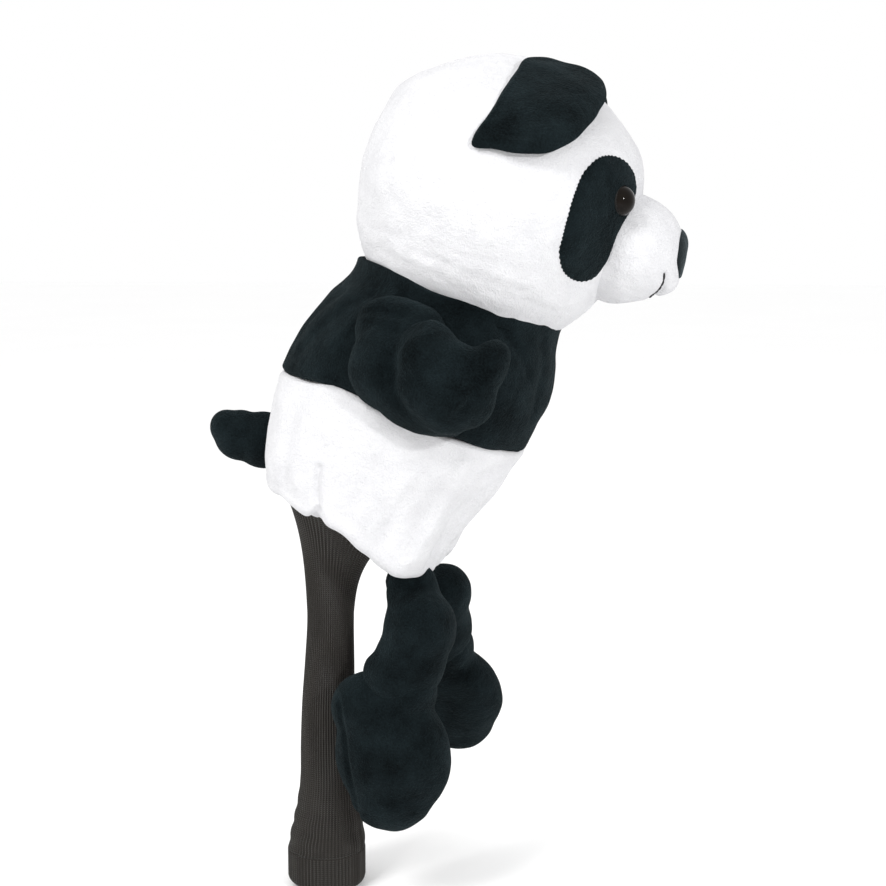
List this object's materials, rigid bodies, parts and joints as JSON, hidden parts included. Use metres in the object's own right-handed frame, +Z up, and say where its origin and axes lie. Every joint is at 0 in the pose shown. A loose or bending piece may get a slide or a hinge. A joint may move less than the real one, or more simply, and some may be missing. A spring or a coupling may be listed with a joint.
{
  "type": "golf driver head cover",
  "caption": "Plush panda head cover for a golf driver: padded body pouch on a long ribbed knit sock, with soft dangling limbs.",
  "frame": {"origin": "centre of the sock's mouth, on the axis of the club's shaft", "axes": "+Z up along the shaft, +X the way the animal faces, +Y the animal's left"},
  "size_m": [0.2633, 0.1902, 0.4627],
  "materials": {
    "white_plush": "soft short-pile plush",
    "black_plush": "soft short-pile plush",
    "nose_plush": "satin stitched plush",
    "sock_knit": "ribbed knit",
    "lining": "smooth woven lining",
    "filling": "polyester fibre fill",
    "eye_lens": "glossy clear over dark",
    "eye_base": "gloss",
    "washer": "moulded",
    "thread": "twisted thread"
  },
  "bodies": {
    "cover": {"belly_panel": "white_plush", "body_padding": "filling", "chest_band": "black_plush", "head_gusset": "white_plush", "head_stuffing": "filling", "hem_binding": "sock_knit", "knit_sock": "sock_knit", "left_eye_base": "eye_base", "left_eye_lens": "eye_lens", "left_eye_patch": "black_plush", "left_eye_washer": "washer", "left_head_panel": "white_plush", "lining_pouch": "lining", "mouth_stitching": "thread", "neck_divider": "lining", "nose": "nose_plush", "right_eye_base": "eye_base", "right_eye_lens": "eye_lens", "right_eye_patch": "black_plush", "right_eye_washer": "washer", "right_head_panel": "white_plush", "snout_cover": "white_plush", "snout_stuffing": "filling", "sock_cuff": "sock_knit"},
    "right_ear": {"right_ear": "black_plush"},
    "right_arm": {"right_arm_cover": "black_plush", "right_arm_stuffing": "filling"},
    "right_leg": {"right_leg_cover": "black_plush", "right_leg_stuffing": "filling"},
    "right_foot": {"right_foot_cover": "black_plush", "right_foot_sole": "black_plush", "right_foot_stuffing": "filling"},
    "left_ear": {"left_ear": "black_plush"},
    "left_arm": {"left_arm_cover": "black_plush", "left_arm_stuffing": "filling"},
    "left_leg": {"left_leg_cover": "black_plush", "left_leg_stuffing": "filling"},
    "left_foot": {"left_foot_cover": "black_plush", "left_foot_sole": "black_plush", "left_foot_stuffing": "filling"},
    "tail": {"tail_cover": "black_plush", "tail_stuffing": "filling"}
  },
  "joints": [
    {"name": "right_hip", "type": "hinge", "parent": "cover", "child": "right_leg", "pos_m": [0.052, -0.0315, 0.16004], "axis": [0, -1, 0], "range_deg": [-15, 45]},
    {"name": "left_hip", "type": "hinge", "parent": "cover", "child": "left_leg", "pos_m": [0.052, 0.0315, 0.16004], "axis": [0, -0.891, -0.454], "range_deg": [-40, 25]},
    {"name": "right_ankle", "type": "hinge", "parent": "right_leg", "child": "right_foot", "pos_m": [0.04576, -0.0315, 0.13069], "axis": [0, -1, 0], "range_deg": [-20, 20]},
    {"name": "left_ankle", "type": "hinge", "parent": "left_leg", "child": "left_foot", "pos_m": [0.05721, 0.04491, 0.13371], "axis": [0, -0.891, -0.454], "range_deg": [-10, 30]},
    {"name": "right_shoulder", "type": "hinge", "parent": "cover", "child": "right_arm", "pos_m": [0.06802, -0.0585, 0.32909], "axis": [-0.9511, 0, 0.309], "range_deg": [0, 40]},
    {"name": "left_shoulder", "type": "hinge", "parent": "cover", "child": "left_arm", "pos_m": [0.06802, 0.0585, 0.32909], "axis": [0.9511, 0, -0.309], "range_deg": [0, 40]},
    {"name": "right_ear_fold", "type": "hinge", "parent": "cover", "child": "right_ear", "pos_m": [0.10151, -0.05901, 0.44081], "axis": [-0.3964, -0.6256, -0.672], "range_deg": [0, 50]},
    {"name": "left_ear_fold", "type": "hinge", "parent": "cover", "child": "left_ear", "pos_m": [0.10151, 0.05901, 0.44081], "axis": [0.3964, -0.6256, 0.672], "range_deg": [0, 50]},
    {"name": "tail_wag", "type": "hinge", "parent": "cover", "child": "tail", "pos_m": [-0.04175, 0, 0.257], "axis": [0, 0, 1], "range_deg": [-20, 20]}
  ]
}
